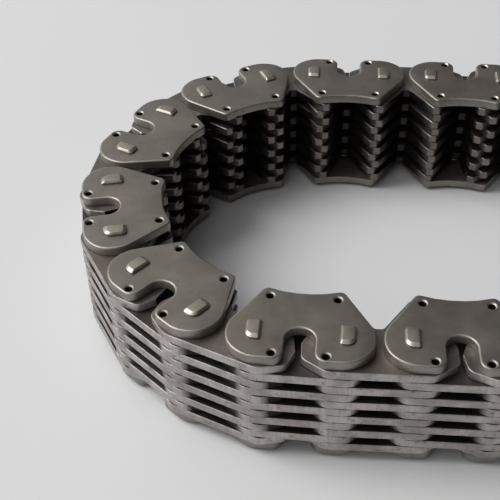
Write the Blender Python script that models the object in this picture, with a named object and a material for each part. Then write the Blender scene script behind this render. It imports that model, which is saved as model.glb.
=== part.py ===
"""Inverted-tooth drive chain with rocker joints, lying on its side as a closed loop.

Guide links and inner links alternate. A guide link is a row of toothed plates pressed on two
long pins, with a guide plate at each end of the pins. An inner link is a row of toothed plates
on two short rockers. At each hinge a long pin and a rocker roll on each other inside the
openings of both rows. Lengths are in metres and angles in degrees.
"""

from math import atan2, ceil, cos, degrees, hypot, pi, radians, sin, tan

import bmesh
import bpy
from mathutils import Vector

# The chain as a whole
PITCH = 0.0111125
PLATE_THICKNESS = 0.0015
SIDE_PLAY = 0.00008
GUIDE_ROW_PLATES = 5
PIN_PROJECTION = 0.0006

# How far each joint of half the loop is bent; the other half repeats it and closes the loop
FIRST_HEADING = 180.0
LOOP_TURNS = (12, 16.5, 19.5, 18, 19, 17.5, 19, 18.5, 17.5, 20.5, 2.5)
MOST_INWARD_BEND = 28.0
MOST_BACK_BEND = 2.5

# Pins and rockers: a blunt wedge rolls on the hinge line, a narrower back bears in the plate
ROLLING_GAP = 0.0003
PIN_WIDTH = 0.00205
PIN_HEIGHT = 0.0037
PIN_BACK_HEIGHT = 0.0027
WEDGE_ALLOWANCE = 1.5
OPENING_PLAY = 0.0001
GUIDE_FIT = 0.0001

# Toothed plate of both rows
ROW_GAP = 0.00034
BACK_HEIGHT = 0.00547
SHOULDER_LENGTH = 0.00355
SHOULDER_DROP = 0.0024
TOE_REACH = 0.0089
TOE_WIDTH = 0.0012
TOE_INSET = 0.00033
CROTCH_REACH = 0.0031
CROTCH_WIDTH = 0.00135

# Guide plate
LOBE_RADIUS = 0.0048
LOBE_OUTSET = 0.00033
LOBE_DROP = 0.00033
FLANK_ANGLE = 57.6
WAIST_REACH = 0.00785
TOOTH_RISE = 0.0009
TOOTH_RADIUS = 0.0010
SLOT_WIDTH = 0.00434
SLOT_REACH = 0.00094
MOUTH_RADIUS = 0.00167

# Arc steps, as the widest angle that one edge may stand for
LOBE_STEP = 42.0
TOOTH_STEP = 62.0
WAIST_STEP = 12.0
SLOT_STEP = 46.0
MOUTH_STEP = 92.0
SWEEP_STEP = 0.5
SHARP_ANGLE = 48.0

# Finish: base colour, metallic, roughness
GUIDE_STEEL = ((0.165, 0.150, 0.140, 1.0), 0.9, 0.45)
PLATE_STEEL = ((0.260, 0.240, 0.225, 1.0), 0.9, 0.40)

LAYER = PLATE_THICKNESS + SIDE_PLAY
HALF_PITCH = PITCH / 2
INNER_ROW_PLATES = GUIDE_ROW_PLATES + 1
LAST_LAYER = GUIDE_ROW_PLATES + INNER_ROW_PLATES + 1
CHAIN_WIDTH = LAST_LAYER * LAYER + PLATE_THICKNESS + 2 * PIN_PROJECTION


# Plane geometry, with x along the link and y towards the inside of the loop

def arc(centre, radius, start, end, widest_step):
    """Points on a circle from the start angle to the end angle, in degrees, both included."""
    steps = max(1, ceil(abs(end - start) / widest_step))
    angles = [radians(start + (end - start) * i / steps) for i in range(steps + 1)]
    return [(centre[0] + radius * cos(a), centre[1] + radius * sin(a)) for a in angles]


def turned(point, angle):
    """A point turned about the origin by an angle in radians."""
    return (
        point[0] * cos(angle) - point[1] * sin(angle),
        point[0] * sin(angle) + point[1] * cos(angle),
    )


def mirrored(points):
    """The same points across the link's middle, in reverse order."""
    return [(-x, y) for x, y in reversed(points)]


def pin_corners():
    """Front and back corners of a pin at a hinge, with x away from the hinge line."""
    half_wedge = radians(MOST_INWARD_BEND / 2 + WEDGE_ALLOWANCE)
    front_x = ROLLING_GAP / 2 + PIN_HEIGHT / 2 * tan(half_wedge)
    back_x = ROLLING_GAP / 2 + PIN_WIDTH
    return (front_x, PIN_HEIGHT / 2), (back_x, PIN_BACK_HEIGHT / 2)


def pin_section(grow=0.0):
    """Pin outline at a hinge, grown on every side, with x away from the hinge line."""
    (front_x, front_y), (back_x, back_y) = pin_corners()
    lower = [(ROLLING_GAP / 2, 0.0), (front_x, -front_y), (back_x, -back_y)]
    points = lower + [(back_x, back_y), (front_x, front_y)]
    lines = []
    for a, b in zip(points, points[1:] + points[:1]):
        along = Vector(b) - Vector(a)
        outward = Vector((along.y, -along.x)).normalized()
        lines.append((outward, outward.dot(Vector(a)) + grow))
    corners = []
    for (n1, d1), (n2, d2) in zip(lines[-1:] + lines[:-1], lines):
        cross = n1.x * n2.y - n1.y * n2.x
        corners.append(((d1 * n2.y - d2 * n1.y) / cross, (n1.x * d2 - n2.x * d1) / cross))
    return corners


def opening_section():
    """Opening beside a fixed pin for the other row's pin, with x away from the fixed one.

    It starts at the fixed pin's front corners and clears the moving pin at every bend.
    """
    (front_x, front_y), _ = pin_corners()
    steps = ceil((MOST_INWARD_BEND + MOST_BACK_BEND) / SWEEP_STEP)
    span = radians(MOST_INWARD_BEND + MOST_BACK_BEND)
    swept = [
        turned(corner, radians(MOST_BACK_BEND) - span * i / steps)
        for corner in pin_section()
        for i in range(steps + 1)
    ]
    far_x = max(hypot(x, y) for x, y in swept) + OPENING_PLAY
    rise = max((y + OPENING_PLAY - front_y) / (x + front_x) for x, y in swept)
    fall = max((-y + OPENING_PLAY - front_y) / (x + front_x) for x, y in swept)
    inner_y = front_y + rise * (far_x + front_x)
    outer_y = front_y + fall * (far_x + front_x)
    return [(-front_x, -front_y), (far_x, -outer_y), (far_x, inner_y), (-front_x, front_y)]


def at_end(points, away):
    """A hinge outline placed at the link's far end, pointing out of the link or back into it."""
    return [(HALF_PITCH + (x if away else -x), y) for x, y in points]


def toothed_plate_outline():
    end = PITCH - ROW_GAP / 2
    toe = HALF_PITCH - TOE_INSET
    half = [
        (CROTCH_WIDTH / 2, CROTCH_REACH),
        (toe - TOE_WIDTH / 2, TOE_REACH),
        (toe + TOE_WIDTH / 2, TOE_REACH),
        (end, 0.0),
        (end, SHOULDER_DROP - BACK_HEIGHT),
        (end - SHOULDER_LENGTH, -BACK_HEIGHT),
    ]
    return half + mirrored(half)


def guide_plate_outline():
    """Two round lobes, straight flanks to two small teeth, a hollow waist and a slot in the back."""
    lobe = Vector((HALF_PITCH + LOBE_OUTSET, -LOBE_DROP))
    back = lobe.y - LOBE_RADIUS
    flank_normal = 90 - FLANK_ANGLE
    out = Vector((cos(radians(flank_normal)), sin(radians(flank_normal))))
    tooth_y = WAIST_REACH + TOOTH_RISE - TOOTH_RADIUS
    tooth_x = (out.dot(lobe) + LOBE_RADIUS - TOOTH_RADIUS - out.y * tooth_y) / out.x
    rise = WAIST_REACH - tooth_y
    waist_radius = (tooth_x**2 + rise**2 - TOOTH_RADIUS**2) / (2 * (TOOTH_RADIUS - rise))
    waist = (0.0, WAIST_REACH + waist_radius)
    meeting = degrees(atan2(waist[1] - tooth_y, -tooth_x))
    slot = (0.0, SLOT_REACH - SLOT_WIDTH / 2)
    mouth = (SLOT_WIDTH / 2 + MOUTH_RADIUS, back + MOUTH_RADIUS)
    half = arc(slot, SLOT_WIDTH / 2, 90, 0, SLOT_STEP)[1:]
    half += arc(mouth, MOUTH_RADIUS, 180, 270, MOUTH_STEP)
    half += arc(lobe, LOBE_RADIUS, -90, flank_normal, LOBE_STEP)
    half += arc((tooth_x, tooth_y), TOOTH_RADIUS, flank_normal, meeting, TOOTH_STEP)
    half += arc(waist, waist_radius, meeting - 180, -90, WAIST_STEP)[1:-1]
    middle_of_waist = [(0.0, WAIST_REACH)]
    end_of_slot = [(0.0, SLOT_REACH)]
    return half + middle_of_waist + mirrored(half) + end_of_slot


# Solids

def add_prism(bm, loops, bottom, height):
    """Extrude a flat shape, its first loop outside and the others holes, straight up."""
    edges = []
    for loop in loops:
        verts = [bm.verts.new((x, y, bottom)) for x, y in loop]
        edges += [bm.edges.new(pair) for pair in zip(verts, verts[1:] + verts[:1])]
    filled = bmesh.ops.triangle_fill(bm, use_beauty=True, edges=edges)["geom"]
    faces = [part for part in filled if isinstance(part, bmesh.types.BMFace)]
    raised = bmesh.ops.extrude_face_region(bm, geom=faces, use_keep_orig=True)["geom"]
    top = [part for part in raised if isinstance(part, bmesh.types.BMVert)]
    bmesh.ops.translate(bm, verts=top, vec=(0.0, 0.0, height))


def mesh_object(name, prisms):
    """Object made of prisms, each given as its loops, bottom and height."""
    bm = bmesh.new()
    for loops, bottom, height in prisms:
        add_prism(bm, loops, bottom, height)
    bmesh.ops.recalc_face_normals(bm, faces=bm.faces)
    mesh = bpy.data.meshes.new(name)
    bm.to_mesh(mesh)
    bm.free()
    part = bpy.data.objects.new(name, mesh)
    bpy.context.collection.objects.link(part)
    return part


def take_result(part, name):
    """The mesh that an object's modifiers give; the object itself is removed."""
    result = part.evaluated_get(bpy.context.evaluated_depsgraph_get())
    mesh = bpy.data.meshes.new_from_object(result)
    mesh.name = name
    mesh.shade_smooth()
    mesh.set_sharp_from_angle(angle=radians(SHARP_ANGLE))
    bpy.data.objects.remove(part)
    return mesh


def boolean(part, tool, operation):
    cut = part.modifiers.new(tool.name, "BOOLEAN")
    cut.object = tool
    cut.operation = operation
    cut.solver = "EXACT"


def row_mesh(name, plates, first_layer, pin_bottom, pin_top):
    """A row of toothed plates, every second layer, with a pin through each end."""
    opening = at_end(opening_section(), away=False)
    pin = at_end(pin_section(), away=True)
    stack = [
        ([toothed_plate_outline()], (first_layer + 2 * i) * LAYER, PLATE_THICKNESS)
        for i in range(plates)
    ]
    top_of_row = (first_layer + 2 * plates) * LAYER
    row = mesh_object(name, stack)
    openings = mesh_object(
        name + "_openings",
        [([loop], -LAYER, top_of_row + 2 * LAYER) for loop in (opening, mirrored(opening))],
    )
    pins = mesh_object(
        name + "_pins",
        [([loop], pin_bottom, pin_top - pin_bottom) for loop in (pin, mirrored(pin))],
    )
    boolean(row, openings, "DIFFERENCE")
    boolean(row, pins, "UNION")
    mesh = take_result(row, name)
    for tool in (openings, pins):
        bpy.data.objects.remove(tool)
    return mesh


def guide_row_mesh():
    """Measured from the bottom guide plate's under face: the pins pass through both guides."""
    top = LAST_LAYER * LAYER + PLATE_THICKNESS
    return row_mesh("guide_row", GUIDE_ROW_PLATES, 2, -PIN_PROJECTION, top + PIN_PROJECTION)


def inner_row_mesh():
    """The rockers end flush with the outer plates of their own row."""
    top = (LAST_LAYER - 1) * LAYER + PLATE_THICKNESS
    return row_mesh("inner_row", INNER_ROW_PLATES, 1, LAYER, top)


def guide_plate_mesh():
    hole = at_end(pin_section(GUIDE_FIT), away=True)
    loops = [guide_plate_outline(), hole, mirrored(hole)]
    return take_result(mesh_object("guide_plate", [(loops, 0.0, PLATE_THICKNESS)]), "guide_plate")


# The loop

def loop_turns():
    """Bend at every joint: the last one of each half makes the half turn through 180 degrees."""
    half = list(LOOP_TURNS) + [180 - sum(LOOP_TURNS)]
    return half + half


def loop_centre(turns):
    """Middle of the loop, seen from the first link's middle and heading."""
    place = Vector((0.0, 0.0))
    heading = 0.0
    for turn in turns[: len(turns) // 2]:
        place += HALF_PITCH * Vector(turned((1.0, 0.0), heading))
        heading += radians(turn)
        place += HALF_PITCH * Vector(turned((1.0, 0.0), heading))
    return place / 2


def joint_frame(name, parent, x, angle):
    """Empty on a hinge line; turning it swings the link and all that hang on it."""
    frame = bpy.data.objects.new(name, None)
    bpy.context.collection.objects.link(frame)
    frame.empty_display_size = PITCH / 4
    frame.parent = parent
    frame.location = (x, 0.0, 0.0)
    frame.rotation_euler = (0.0, 0.0, angle)
    return frame


def place(name, mesh, frame, x, z):
    part = bpy.data.objects.new(name, mesh)
    bpy.context.collection.objects.link(part)
    part.parent = frame
    part.location = (x, 0.0, z)


def add_link(index, meshes, frame, x):
    """Even links are guide links; every link's pieces ride on its own frame."""
    number = f"{index // 2 + 1:02d}"
    if index % 2:
        place(f"inner_row_{number}_plates_and_rockers", meshes["inner"], frame, x, PIN_PROJECTION)
        return
    place(f"guide_row_{number}_plates_and_pins", meshes["guide"], frame, x, PIN_PROJECTION)
    place(f"guide_plate_{number}_bottom", meshes["plate"], frame, x, PIN_PROJECTION)
    place(f"guide_plate_{number}_top", meshes["plate"], frame, x, PIN_PROJECTION + LAST_LAYER * LAYER)


def build_loop(meshes):
    """Two branches leave the first link; they meet at an open hinge half the loop away."""
    turns = loop_turns()
    links = len(turns)
    root = joint_frame("loop_frame", None, 0.0, radians(FIRST_HEADING))
    middle = turned(loop_centre(turns), radians(FIRST_HEADING))
    root.location = (-middle[0], -middle[1], 0.0)
    add_link(0, meshes, root, 0.0)
    frame, step = root, HALF_PITCH
    for index in range(1, links // 2 + 1):
        frame = joint_frame(f"joint_{index:02d}", frame, step, radians(turns[index - 1]))
        add_link(index, meshes, frame, HALF_PITCH)
        step = PITCH
    frame, step = root, HALF_PITCH
    for index in range(links - 1, links // 2, -1):
        frame = joint_frame(f"joint_{index + 1:02d}", frame, -step, -radians(turns[index]))
        add_link(index, meshes, frame, -HALF_PITCH)
        step = PITCH


def steel(name, finish):
    color, metallic, roughness = finish
    material = bpy.data.materials.new(name)
    material.diffuse_color = color
    material.use_nodes = True
    shader = material.node_tree.nodes["Principled BSDF"]
    shader.inputs["Base Color"].default_value = color
    shader.inputs["Metallic"].default_value = metallic
    shader.inputs["Roughness"].default_value = roughness
    return material


def main():
    for old in list(bpy.data.objects):
        bpy.data.objects.remove(old)
    meshes = {"guide": guide_row_mesh(), "inner": inner_row_mesh(), "plate": guide_plate_mesh()}
    guide_steel = steel("guide_steel", GUIDE_STEEL)
    plate_steel = steel("plate_steel", PLATE_STEEL)
    for key, material in (("guide", plate_steel), ("inner", plate_steel), ("plate", guide_steel)):
        meshes[key].materials.clear()
        meshes[key].materials.append(material)
    build_loop(meshes)


main()
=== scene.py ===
"""A closed loop of inverted-tooth drive chain on a pale floor.

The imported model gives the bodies. Every link is dressed with finer pieces in the same places:
guide plates with rolled rims and their small holes, toothed plates with rounded corners, long
pins with chamfered ends, and rockers. Lengths are in metres and angles in degrees. A link is
drawn with x along the chain and y towards the inside of the loop.
"""

from math import ceil, cos, degrees, pi, radians, sin, tan

import bmesh
import bpy
from mathutils import Matrix, Vector

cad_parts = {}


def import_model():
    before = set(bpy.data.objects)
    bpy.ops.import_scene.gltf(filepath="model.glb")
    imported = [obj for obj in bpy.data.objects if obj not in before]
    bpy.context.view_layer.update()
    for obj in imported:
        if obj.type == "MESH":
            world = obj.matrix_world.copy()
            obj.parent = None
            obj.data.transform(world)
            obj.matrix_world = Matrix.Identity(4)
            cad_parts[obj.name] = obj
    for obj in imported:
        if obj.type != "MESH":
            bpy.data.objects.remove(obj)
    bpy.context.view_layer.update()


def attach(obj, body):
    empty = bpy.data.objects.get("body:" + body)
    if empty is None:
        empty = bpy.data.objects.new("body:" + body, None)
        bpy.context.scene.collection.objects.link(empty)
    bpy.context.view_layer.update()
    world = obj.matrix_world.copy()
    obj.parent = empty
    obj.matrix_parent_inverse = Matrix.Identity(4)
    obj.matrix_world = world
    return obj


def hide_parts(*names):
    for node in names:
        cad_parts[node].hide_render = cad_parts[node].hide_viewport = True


# Camera, as fitted to the pins and holes of the guide plates
CAMERA_PLACE = (-0.01267, -0.12755, 0.11939)
CAMERA_YAW = 5.26
CAMERA_DIP = 41.686
CAMERA_ROLL = -1.2
CAMERA_FIELD = 29.06
CAMERA_NEAR = 0.005

# The floor, and the lamp on the side of the window
FLOOR_HALF = 40.0
FLOOR_TONE = (0.63, 0.63, 0.632, 1.0)
FLOOR_ROUGHNESS = 0.9
WINDOW_SIDE = (-0.95, 0.0, 0.31)
LAMP_PLACE = (-0.845, 0.04, 0.99)
LAMP_WIDTH = 0.8
LAMP_POWER = 13.2

# The sky's brightness from the side away from the window (0) to the window (1), its share from
# the horizon (0) to the zenith (1), and the pale haze that hides the end of the floor
SKY_ACROSS = ((0.53, 0.03), (0.73, 0.88), (1.0, 1.0))
SKY_OVER = ((0.0, 0.3), (0.4, 1.0))
SKY_HAZE = ((0.0, 0.27), (0.05, 0.24), (0.14, 0.0))
SKY_STRENGTH = 1.05

# The loop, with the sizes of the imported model. LAYER is from one layer to the next, and PROUD is
# how far the pin ends stand out of the guide plates, which are layers 0 and LAST_LAYER. The
# turns are those at the hinges of one half of the loop, and the other half repeats them.
PITCH = 0.0111125
HALF_PITCH = PITCH / 2
PLATE = 0.0015
LAYER = 0.00158
PROUD = 0.0006
LAST_LAYER = 12
FIRST_HEADING = 180.0
HALF_LOOP_TURNS = (12, 16.5, 19.5, 18, 19, 17.5, 19, 18.5, 17.5, 20.5, 2.5, -0.5)
CHAIN_WIDTH = LAST_LAYER * LAYER + PLATE + 2 * PROUD
STACK_HEIGHT = (LAST_LAYER - 2) * LAYER + PLATE
GUIDE_ROW_LAYERS = (2, 4, 6, 8, 10)
INNER_ROW_LAYERS = (1, 3, 5, 7, 9, 11)

# Outlines as corners of x, y and rounding radius, for the half of a link with x above 0
END = PITCH - 0.00017
GUIDE_HALF = (
    (0.00217, 0.00094, 0.00215),
    (0.00217, -0.00513, 0.00167),
    (0.008725, -0.00513, 0.00465),
    (0.01146, -0.000155, 0.00465),
    (0.00566, 0.00895, 0.0010),
)
GUIDE_WAIST = (0.0, 0.00685, 0.0140)
TOOTHED_HALF = (
    (0.000675, 0.0031, 0.0006),
    (0.004626, 0.0089, 0.00045),
    (0.005826, 0.0089, 0.00035),
    (END, 0.0, 0.0015),
    (END, -0.00307, 0.0013),
    (END - 0.00355, -0.00547, 0.0025),
)
# The y beyond which the edge of a tooth is its toe
TOE_START = 0.0086

# Hinge outlines, with x away from the hinge line, and the play round a pin in a guide plate
PIN = (
    (0.00015, 0.0, 0.0022),
    (0.00066, -0.00185, 0.00022),
    (0.00220, -0.00135, 0.0009),
    (0.00220, 0.00135, 0.0009),
    (0.00066, 0.00185, 0.00022),
)
PIN_HEAD = (
    (0.00002, -0.00185, 0.00036),
    (0.00220, -0.00185, 0.00125),
    (0.00220, 0.00185, 0.00075),
    (0.00002, 0.00185, 0.00036),
)
HINGE_HOLE = (
    (-0.00223, -0.00137, 0.0009),
    (-0.00068, -0.00188, 0.0002),
    (0.00268, -0.00356, 0.0007),
    (0.00268, 0.00219, 0.0007),
    (-0.00068, 0.00188, 0.0002),
    (-0.00223, 0.00137, 0.0009),
)
PIN_FIT = 0.00003

# Small holes of a guide plate: where they are on the half with x above 0, and their chamfer as
# its reach out from the hole and its drop
TOOTH_HOLE = (0.00492, 0.00703)
BACK_HOLE = (0.00378, -0.00405)
SMALL_HOLE_RADIUS = 0.00058
SMALL_HOLE_SIDES = 20
SMALL_HOLE_RIM = (0.00018, 0.00021)

# Rims of solids: how far they reach in from the side, their drop, and in how many steps
GUIDE_RIM = (0.00029, 0.00024, 4)
PLATE_RIM = (0.00009, 0.00009, 1)
PIN_RIM = (0.00024, 0.00022, 3)
HEAD_RIM = (0.00025, 0.00031, 1)
NO_RIM = (0.0, 0.0, 0)

# The top of a pin head: its width across as a share of the foot's, and how its edges are rounded
HEAD_TAPER = 0.82
HEAD_EDGE = 0.00005
HEAD_EDGE_STEPS = 2

# How far one step of a rounded corner turns, the angle from which an edge is shaded as a sharp
# one, and the least upright share of a level face's normal
ARC_STEP = 9.0
SHARP_ANGLE = 35.0
LEVEL = 0.9999

# Finishes of a mesh's faces, in the order of its materials. The inner edge is the rim of a hole
# in a guide plate, or a flank of the teeth of a toothed plate. A covered face is a flat one
# that lies between two layers, painted darker as shade, and an outer edge is that of a plate
# with nothing on one side, which gets no painted shade. A bore, the wall of a hole, is painted
# dark as the shade inside it.
FLAT, EDGE, BORE, INNER_EDGE, TOE, COVERED, OUTER_EDGE = range(7)

# Painted shade in the recesses between the layers and deep in the tooth spaces: where it begins
# and is full as y on a toothed plate, and its share; then the tone of the painted shade
BACK_PAINTED_SHADE = (-0.0052, -0.0044, 1.0)
TOOTH_PAINTED_SHADE = (0.0084, 0.0064, 0.9)
PAINTED_SHADE_TONE = (0.014, 0.011, 0.009)

# Steels: light tone, dark tone, tone of the stains, roughness, grain, and what sets one apart
STEELS = {
    "guide_face": (
        (0.196, 0.172, 0.152), (0.165, 0.145, 0.128), (0.132, 0.092, 0.066), 0.36, 0.35,
        {"metallic": 0.65}),
    "guide_edge": (
        (0.330, 0.304, 0.277), (0.253, 0.231, 0.209), (0.198, 0.154, 0.121), 0.45, 0.30, {}),
    "hole_rim": (
        (0.528, 0.495, 0.462), (0.440, 0.407, 0.374), (0.220, 0.171, 0.132), 0.42, 0.20, {}),
    "plate_face": (
        (0.182, 0.158, 0.141), (0.132, 0.114, 0.102), (0.143, 0.094, 0.066), 0.45, 0.35, {}),
    # Painted shade: a darker copy of the plate face, for the flat faces between layers
    "covered_face_painted_shade": (
        (0.083, 0.072, 0.064), (0.055, 0.047, 0.042), (0.055, 0.039, 0.028), 0.50, 0.35, {}),
    # Real stains and streaks, and painted shade in the recesses between layers
    "plate_back_stains_and_painted_shade": (
        (0.535, 0.500, 0.480), (0.315, 0.288, 0.272), (0.150, 0.110, 0.088), 0.42, 0.50,
        {"stained": 1.0, "streaked": 0.5, "painted_shade": BACK_PAINTED_SHADE}),
    "outer_back": (
        (0.535, 0.500, 0.480), (0.315, 0.288, 0.272), (0.150, 0.110, 0.088), 0.42, 0.50,
        {"stained": 1.0, "streaked": 0.5}),
    # Real stains and streaks, and painted shade deep in the tooth spaces
    "tooth_edge_stains_and_painted_shade": (
        (0.253, 0.234, 0.220), (0.154, 0.142, 0.133), (0.099, 0.077, 0.066), 0.40, 0.40,
        {"stained": 0.6, "streaked": 0.4, "painted_shade": TOOTH_PAINTED_SHADE}),
    "toe": (
        (0.245, 0.222, 0.207), (0.150, 0.137, 0.128), (0.110, 0.080, 0.066), 0.42, 0.40,
        {"stained": 0.6}),
    # Painted shade: the dark walls inside the holes
    "bore_painted_shade": (
        (0.077, 0.066, 0.061), (0.044, 0.039, 0.033), (0.033, 0.022, 0.017), 0.50, 0.30, {}),
    "pin_end": (
        (0.330, 0.295, 0.248), (0.275, 0.244, 0.205), (0.220, 0.165, 0.116), 0.38, 0.30, {}),
    "pin_side": (
        (0.390, 0.360, 0.320), (0.310, 0.284, 0.250), (0.220, 0.175, 0.130), 0.42, 0.20, {}),
}
GUIDE_FINISHES = ("guide_face", "guide_edge", "bore_painted_shade", "hole_rim")
TOOTHED_FINISHES = (
    "plate_face", "plate_back_stains_and_painted_shade", "bore_painted_shade", "tooth_edge_stains_and_painted_shade", "toe", "covered_face_painted_shade", "outer_back")
PIN_FINISHES = ("pin_end", "pin_side")

# Noises in the steels: scale, detail and roughness, and where each one shows
CLOUDS = (260.0, 3.0, 0.55)
BLOTS = (900.0, 5.0, 0.65)
SPECKS = (5200.0, 2.0, 0.55)
STREAKS = (3600.0, 2.0, 0.55)
CLOUD_RAMP = ((0.36, 0.0), (0.64, 1.0))
BLOT_RAMP = ((0.56, 0.0), (0.72, 1.0))
SPECK_RAMP = ((0.30, 1.0), (0.55, 0.0))
STREAK_RAMP = ((0.34, 1.0), (0.50, 0.0))
SPECK_SHARE = 0.22
STREAK_STRETCH = (1.0, 1.0, 0.05)

# The grain: its depth, and how much the blots and the streaks add to that of the specks
GRAIN_DEPTH = 0.00004
BLOT_GRAIN = 0.8
STREAK_GRAIN = 1.5

# How much the clouds and the blots vary the roughness
CLOUD_ROUGHNESS = 0.22
BLOT_ROUGHNESS = 0.18


# Meshes

def add_loop(bm, corners):
    """A flat face through the corners, each rounded by its radius."""
    verts = [bm.verts.new((x, y, 0.0)) for x, y, _ in corners]
    bm.faces.new(verts)
    ring = list(zip(verts, corners, corners[-1:] + corners[:-1], corners[1:] + corners[:1]))
    for vert, here, before, after in ring:
        back = Vector(before[:2]) - Vector(here[:2])
        ahead = Vector(after[:2]) - Vector(here[:2])
        turn = pi - back.angle(ahead)
        arc = bmesh.ops.bevel(
            bm, geom=[vert], offset=here[2] * tan(turn / 2), offset_type="OFFSET",
            segments=max(2, ceil(degrees(turn) / ARC_STEP)), profile=0.5,
            affect="VERTICES", clamp_overlap=False, material=-1,
        )
    return arc["verts"][0].link_faces[0]


def round_rim(bm, face, rim):
    """Bring the rim of a face in, and out of its plane, along a quarter of an ellipse."""
    reach, drop, steps = rim
    for i in range(steps):
        now, then = (radians(90 * k / steps) for k in (i, i + 1))
        bmesh.ops.inset_region(
            bm, faces=[face], use_boundary=True, use_even_offset=True,
            thickness=reach * (cos(now) - cos(then)), depth=drop * (sin(then) - sin(now)),
        )


def raise_face(bm, face, rise, growth):
    """Extrude a face straight up and size it about its middle."""
    lifted = bmesh.ops.extrude_discrete_faces(bm, faces=[face])["faces"][0]
    middle = lifted.calc_center_median()
    bmesh.ops.scale(
        bm, verts=lifted.verts[:], vec=(growth, growth, 1.0),
        space=Matrix.Translation(-middle),
    )
    bmesh.ops.translate(bm, verts=lifted.verts[:], vec=(0.0, 0.0, rise))
    return lifted


def upright(bm, face, height, top_rim, under_rim):
    """Extrude a face that lies at z = 0 to a solid with rounded rims; returns both end faces."""
    raised = bmesh.ops.extrude_face_region(bm, geom=[face], use_keep_orig=True)["geom"]
    top = next(part for part in raised if isinstance(part, bmesh.types.BMFace))
    wall = height - top_rim[1] - under_rim[1]
    bmesh.ops.translate(bm, verts=top.verts[:], vec=(0.0, 0.0, wall))
    for end, facing, rim in ((top, 1, top_rim), (face, -1, under_rim)):
        end.normal_update()
        if end.normal.z * facing < 0:
            end.normal_flip()
        round_rim(bm, end, rim)
    bmesh.ops.translate(bm, verts=bm.verts[:], vec=(0.0, 0.0, under_rim[1]))
    return top, face


def finish_solid(bm, bores=(), rims=()):
    """Point all faces out and give them their finish; only the flat ones are shaded flat."""
    bmesh.ops.recalc_face_normals(bm, faces=bm.faces[:])
    for face in bm.faces:
        face.material_index = FLAT if abs(face.normal.z) > LEVEL else EDGE
        face.smooth = face.material_index != FLAT
    # Hole walls get the dark bore finish, which is painted shade
    for faces, finish in ((bores, BORE), (rims, INNER_EDGE)):
        for face in faces:
            face.material_index = finish


def plate(outline, holes, height, top_rim, under_rim):
    """A plate with rounded rims. A hole is a flat face's maker and its wall's rises and growths."""
    bm = bmesh.new()
    top, under = upright(bm, add_loop(bm, outline), height, top_rim, under_rim)
    top_edges, under_edges, caps = top.edges[:], under.edges[:], [top, under]
    bores, rims = [], []
    for make_face, wall in holes:
        cap = make_face(bm)
        under_edges += cap.edges[:]
        for rise, growth in wall:
            cap = raise_face(bm, cap, rise, growth)
            walls = bores if growth == 1.0 else rims
            walls += [face for edge in cap.edges for face in edge.link_faces if face != cap]
        top_edges += cap.edges[:]
        caps.append(cap)
    bmesh.ops.delete(bm, geom=caps, context="FACES_ONLY")
    for edges in (top_edges, under_edges):
        bmesh.ops.triangle_fill(bm, use_beauty=True, use_dissolve=False, edges=edges)
    finish_solid(bm, bores, rims)
    return bm


def through(corners, height):
    """A plain hole of a given outline."""
    return (lambda bm: add_loop(bm, corners)), [(height, 1.0)]


def chamfered(x, y, height):
    """A small round hole with a chamfer at the top."""
    reach, drop = SMALL_HOLE_RIM

    def make_face(bm):
        ring = bmesh.ops.create_circle(
            bm, segments=SMALL_HOLE_SIDES, radius=SMALL_HOLE_RADIUS, cap_ends=True,
            matrix=Matrix.Translation((x, y, 0.0)),
        )["verts"]
        return ring[0].link_faces[0]

    return make_face, [(height - drop, 1.0), (drop, 1 + reach / SMALL_HOLE_RADIUS)]


def both_halves(half, middle=()):
    """The whole outline of a link from the half with x above 0."""
    return list(half) + list(middle) + [(-x, y, r) for x, y, r in reversed(half)]


def at_ends(corners, away):
    """A hinge outline at both ends of a link, pointing out of the link or back into it."""
    right = [(HALF_PITCH + (x if away else -x), y, r) for x, y, r in corners]
    if not away:
        right.reverse()
    return right, [(-x, y, r) for x, y, r in reversed(right)]


def grown(corners, fit):
    """A small outline made larger about its middle."""
    mid = sum(x for x, _, _ in corners) / len(corners)
    reach = max(abs(y) for _, y, _ in corners)
    scale = 1 + fit / reach
    return [(mid + (x - mid) * scale, y * scale, r * scale) for x, y, r in corners]


def guide_plate():
    """A guide plate with its four small holes and the openings that its pins fill."""
    holes = [through(outline, PLATE) for outline in at_ends(grown(PIN_HEAD, PIN_FIT), away=True)]
    for x, y in (TOOTH_HOLE, BACK_HOLE):
        holes += [chamfered(x, y, PLATE), chamfered(-x, y, PLATE)]
    outline = both_halves(GUIDE_HALF, [GUIDE_WAIST])
    return plate(outline, holes, PLATE, GUIDE_RIM, NO_RIM)


def toothed_plate():
    """A toothed plate, which also stores how far across the chain each vertex lies, to place the
    painted shade.
    """
    holes = [through(outline, PLATE) for outline in at_ends(HINGE_HOLE, away=False)]
    bm = plate(both_halves(TOOTHED_HALF), holes, PLATE, PLATE_RIM, PLATE_RIM)
    for face in bm.faces:
        y = face.calc_center_median().y
        if face.material_index == EDGE and y > 0:
            face.material_index = TOE if y > TOE_START else INNER_EDGE
    across = bm.verts.layers.float.new("across")
    for vert in bm.verts:
        vert[across] = vert.co.y
    return bm


def pin_pair(length):
    """Two pins, or two rockers, at the ends of a link."""
    bm = bmesh.new()
    for outline in at_ends(PIN, away=True):
        copy_into(bm, plate(outline, [], length, PIN_RIM, PIN_RIM), Matrix.Identity(4))
    return bm


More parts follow.
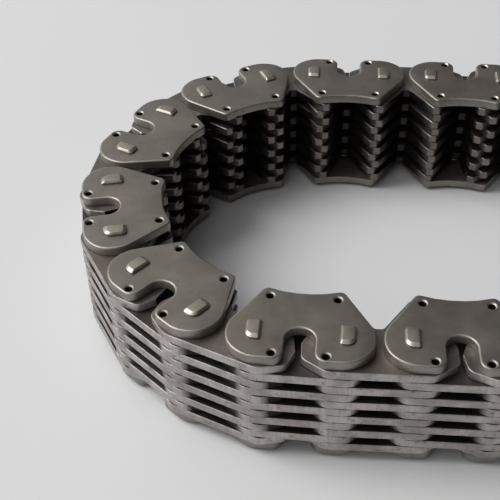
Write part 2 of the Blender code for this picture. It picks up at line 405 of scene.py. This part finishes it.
def head_pair():
    """The ends of two long pins, which fill the guide plate and are chamfered above it."""
    bm = bmesh.new()
    for outline in at_ends(PIN_HEAD, away=True):
        head = bmesh.new()
        top, _ = upright(head, add_loop(head, outline), PLATE + PROUD, HEAD_RIM, NO_RIM)
        bmesh.ops.scale(
            head, verts=top.verts[:], vec=(1.0, HEAD_TAPER, 1.0),
            space=Matrix.Translation(-top.calc_center_median()),
        )
        bmesh.ops.bevel(
            head, geom=top.edges[:], offset=HEAD_EDGE, offset_type="OFFSET",
            segments=HEAD_EDGE_STEPS, profile=0.5, affect="EDGES", material=-1,
        )
        finish_solid(head)
        copy_into(bm, head, Matrix.Identity(4))
    return bm


def at_height(z):
    """A move straight up."""
    return Matrix.Translation((0.0, 0.0, z))


def layer_floor(layer):
    """The height of the under side of a layer of the chain."""
    return PROUD + layer * LAYER


def copy_into(target, source, place):
    """Add a copy of one bmesh to another, moved by a matrix."""
    mesh = bpy.data.meshes.new("copy")
    source.to_mesh(mesh)
    mesh.transform(place)
    if place.is_negative:
        mesh.flip_normals()
    target.from_mesh(mesh)
    bpy.data.meshes.remove(mesh)


def stacked(shape, layers):
    """Copies of a toothed plate in some layers of the chain."""
    stack = bmesh.new()
    for layer in layers:
        copy_into(stack, shape, at_height(layer_floor(layer)))
    # Flat faces between layers take the covered finish, painted darker as shade; edges of the outer
    # layers take the outer finish, without the painted shade
    for face in stack.faces:
        depth = STACK_HEIGHT / 2 - abs(face.calc_center_median().z - CHAIN_WIDTH / 2)
        if face.material_index == FLAT and depth > PLATE / 2:
            face.material_index = COVERED
        elif face.material_index == EDGE and depth < PLATE:
            face.material_index = OUTER_EDGE
    return stack


def piece(name, shape, place, materials, body, nodes):
    """An object from a bmesh, put in place in its mesh and tied to its body."""
    mesh = bpy.data.meshes.new(name)
    shape.to_mesh(mesh)
    mesh.transform(place)
    mesh.set_sharp_from_angle(angle=radians(SHARP_ANGLE))
    for material in materials:
        mesh.materials.append(material)
    obj = bpy.data.objects.new(name, mesh)
    bpy.context.scene.collection.objects.link(obj)
    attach(obj, body)
    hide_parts(*nodes)


# Materials

class Field:
    """A shader socket that takes part in Python arithmetic by adding Math nodes."""

    def __init__(self, shader, socket):
        self.shader, self.socket = shader, socket

    def _math(self, operation, a, b):
        return self.shader.node("ShaderNodeMath", {"operation": operation}, {0: a, 1: b})

    def __add__(self, other):
        return self._math("ADD", self, other)

    def __sub__(self, other):
        return self._math("SUBTRACT", self, other)

    def __mul__(self, other):
        return self._math("MULTIPLY", self, other)


class Shader:
    """The node tree of a material or the world."""

    def __init__(self, owner):
        owner.use_nodes = True
        self.tree = owner.node_tree
        surfaces = ("BSDF_PRINCIPLED", "BACKGROUND")
        self.surface = next(node for node in self.tree.nodes if node.type in surfaces)

    def fill(self, node, inputs):
        """Set or link inputs of a node."""
        for key, value in inputs.items():
            if isinstance(value, Field):
                self.tree.links.new(value.socket, node.inputs[key])
            else:
                node.inputs[key].default_value = value

    def node(self, kind, settings, inputs, output=0):
        """Add a node and return one of its outputs."""
        added = self.tree.nodes.new(kind)
        for name, value in settings.items():
            setattr(added, name, value)
        self.fill(added, inputs)
        return Field(self, added.outputs[output])

    def ramp(self, value, *stops):
        """A grey ramp from stops of position and brightness."""
        field = self.node("ShaderNodeValToRGB", {}, {"Fac": value})
        first, last = field.socket.node.color_ramp.elements
        first.position, last.position = stops[0][0], stops[-1][0]
        first.color, last.color = grey(stops[0][1]), grey(stops[-1][1])
        for position, brightness in stops[1:-1]:
            field.socket.node.color_ramp.elements.new(position).color = grey(brightness)
        return field

    def noise(self, coordinates, scale, detail, roughness):
        """A noise from 0 to 1."""
        return self.node(
            "ShaderNodeTexNoise", {},
            {"Vector": coordinates, "Scale": scale, "Detail": detail, "Roughness": roughness},
        )

    def blend(self, factor, a, b):
        """Colour a where the factor is 0 and colour b where it is 1."""
        return self.node(
            "ShaderNodeMix", {"data_type": "RGBA"}, {"Factor": factor, 6: a, 7: b}, output=2,
        )


def grey(value):
    """An opaque grey."""
    return (value, value, value, 1.0)


def steel(
        name, light, dark, stain, roughness, grain,
        stained=0.45, streaked=0.0, painted_shade=None, metallic=0.85):
    """Oiled steel: broad clouds between two tones, brown stains, dark specks and a fine grain.

    Some steels also have upright streaks, and painted shade that grows with how far across a
    vertex lies.
    """
    light, dark, stain = ((*tone, 1.0) for tone in (light, dark, stain))
    material = bpy.data.materials.new(name)
    shader = Shader(material)
    place = shader.node("ShaderNodeTexCoord", {}, {}, output="Object")
    clouds = shader.noise(place, *CLOUDS)
    blots = shader.noise(place, *BLOTS)
    specks = shader.noise(place, *SPECKS)
    tone = shader.blend(shader.ramp(clouds, *CLOUD_RAMP), dark, light)
    tone = shader.blend(shader.ramp(blots, *BLOT_RAMP) * stained, tone, stain)
    tone = shader.blend(shader.ramp(specks, *SPECK_RAMP) * SPECK_SHARE, tone, dark)
    relief = specks + blots * BLOT_GRAIN
    if streaked:
        drawn_out = shader.node(
            "ShaderNodeVectorMath", {"operation": "MULTIPLY"}, {0: place, 1: STREAK_STRETCH})
        streaks = shader.noise(drawn_out, *STREAKS)
        tone = shader.blend(shader.ramp(streaks, *STREAK_RAMP) * streaked, tone, dark)
        relief = relief + streaks * STREAK_GRAIN
    # Painted shade: darker the deeper a vertex lies in a recess between layers or in a tooth space
    if painted_shade:
        start, full, share = painted_shade
        across = shader.node("ShaderNodeAttribute", {"attribute_name": "across"}, {}, output="Fac")
        depth = (across - start) * (1 / (full - start))
        tone = shader.blend(shader.ramp(depth, (0.0, 0.0), (1.0, share)), tone, (*PAINTED_SHADE_TONE, 1.0))
    bump = shader.node(
        "ShaderNodeBump", {}, {"Strength": grain, "Distance": GRAIN_DEPTH, "Height": relief})
    unevenness = (clouds - 0.5) * CLOUD_ROUGHNESS + (blots - 0.5) * BLOT_ROUGHNESS
    shader.fill(shader.surface, {
        "Base Color": tone,
        "Metallic": metallic,
        "Roughness": unevenness + roughness,
        "Normal": bump,
    })
    return material


# The scene

def link_places():
    """Place of every link in turn round the loop, from a guide link on."""
    turns = HALF_LOOP_TURNS * 2
    heading = radians(FIRST_HEADING)
    spot = Vector((0.0, 0.0))
    spots = []
    for turn in turns:
        spots.append((spot.copy(), heading))
        spot += HALF_PITCH * Vector((cos(heading), sin(heading)))
        heading += radians(turn)
        spot += HALF_PITCH * Vector((cos(heading), sin(heading)))
    middle = (spots[0][0] + spots[len(turns) // 2][0]) / 2
    return [
        Matrix.Translation((*(spot - middle), 0.0)) @ Matrix.Rotation(heading, 4, "Z")
        for spot, heading in spots
    ]


def build_links(places):
    """Dress every body of the loop; guide links and inner links alternate."""
    steels = {name: steel(name, *look, **extra) for name, (*look, extra) in STEELS.items()}
    guide_steels, plate_steels, pin_steels = (
        [steels[finish] for finish in finishes]
        for finishes in (GUIDE_FINISHES, TOOTHED_FINISHES, PIN_FINISHES))

    guide, toothed, heads = guide_plate(), toothed_plate(), head_pair()
    guide_row, inner_row = stacked(toothed, GUIDE_ROW_LAYERS), stacked(toothed, INNER_ROW_LAYERS)
    top_plate, bottom_plate, rockers, long_pins = (bmesh.new() for _ in range(4))
    upside_down = Matrix.Diagonal((1.0, 1.0, -1.0, 1.0))
    at_top = at_height(layer_floor(LAST_LAYER))
    at_bottom = at_height(PROUD + PLATE) @ upside_down
    between_guides = at_height(PROUD + PLATE / 2)
    copy_into(top_plate, guide, at_top)
    copy_into(bottom_plate, guide, at_bottom)
    copy_into(rockers, pin_pair(STACK_HEIGHT), at_height(layer_floor(1)))
    copy_into(long_pins, pin_pair(CHAIN_WIDTH - 2 * PROUD - PLATE), between_guides)
    copy_into(long_pins, heads, at_top)
    copy_into(long_pins, heads, at_bottom)

    for index, place in enumerate(places):
        number = f"{index // 2 + 1:02d}"
        if index % 2:
            body, node = f"inner_link_{number}", f"inner_row_{number}_plates_and_rockers"
            pieces = (
                (f"inner_toothed_plates_{number}", inner_row, plate_steels, "plate_steel", node),
                (f"inner_rockers_{number}", rockers, pin_steels, "plate_steel", node),
            )
        else:
            body, node = f"guide_link_{number}", f"guide_row_{number}_plates_and_pins"
            top, bottom = f"guide_plate_{number}_top", f"guide_plate_{number}_bottom"
            pieces = (
                (f"guide_toothed_plates_{number}", guide_row, plate_steels, "plate_steel", node),
                (f"guide_long_pins_{number}", long_pins, pin_steels, "plate_steel", node),
                (f"guide_{number}_upper", top_plate, guide_steels, "guide_steel", top),
                (f"guide_{number}_lower", bottom_plate, guide_steels, "guide_steel", bottom),
            )
        for name, shape, materials, slot, node in pieces:
            piece(name, shape, place, materials, body, [node])


def build_floor():
    """A plain floor so wide that its end is lost in the haze."""
    bm = bmesh.new()
    bmesh.ops.create_grid(bm, x_segments=1, y_segments=1, size=FLOOR_HALF)
    mesh = bpy.data.meshes.new("floor")
    bm.to_mesh(mesh)
    bm.free()
    material = bpy.data.materials.new("pale_floor")
    shader = Shader(material)
    shader.fill(shader.surface, {"Base Color": FLOOR_TONE, "Roughness": FLOOR_ROUGHNESS})
    mesh.materials.append(material)
    floor = bpy.data.objects.new("floor", mesh)
    bpy.context.scene.collection.objects.link(floor)


def build_camera():
    """A camera in front of the loop that looks down at it."""
    data = bpy.data.cameras.new("camera")
    data.angle = radians(CAMERA_FIELD)
    data.clip_start = CAMERA_NEAR
    camera = bpy.data.objects.new("camera", data)
    camera.matrix_world = (
        Matrix.Translation(CAMERA_PLACE)
        @ Matrix.Rotation(radians(CAMERA_YAW), 4, "Z")
        @ Matrix.Rotation(radians(90 - CAMERA_DIP), 4, "X")
        @ Matrix.Rotation(radians(CAMERA_ROLL), 4, "Z")
    )
    bpy.context.scene.collection.objects.link(camera)
    bpy.context.scene.camera = camera


def build_sky():
    """A sky that is bright towards the window and dim opposite, with a pale haze at the horizon."""
    world = bpy.data.worlds.new("studio")
    bpy.context.scene.world = world
    shader = Shader(world)
    direction = shader.node("ShaderNodeTexCoord", {}, {}, output="Generated")
    towards_window, upwards = (
        shader.node(
            "ShaderNodeVectorMath", {"operation": "DOT_PRODUCT"}, {0: direction, 1: side}, output=1)
        for side in (WINDOW_SIDE, (0.0, 0.0, 1.0)))
    across = shader.ramp(towards_window * 0.5 + 0.5, *SKY_ACROSS)
    over = shader.ramp(upwards, *SKY_OVER)
    haze = shader.ramp(upwards, *SKY_HAZE)
    shader.fill(shader.surface, {"Color": across * over + haze, "Strength": SKY_STRENGTH})


def build_lamp():
    """A soft round lamp on the window's side that faces the chain."""
    data = bpy.data.lights.new("window", "AREA")
    data.shape, data.size, data.energy = "DISK", LAMP_WIDTH, LAMP_POWER
    lamp = bpy.data.objects.new("window", data)
    aim = Vector(LAMP_PLACE).to_track_quat("Z", "Y")
    lamp.matrix_world = Matrix.Translation(LAMP_PLACE) @ aim.to_matrix().to_4x4()
    bpy.context.scene.collection.objects.link(lamp)


def main():
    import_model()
    build_links(link_places())
    build_floor()
    build_camera()
    build_sky()
    build_lamp()
    bpy.context.scene.view_settings.view_transform = "Standard"


main()
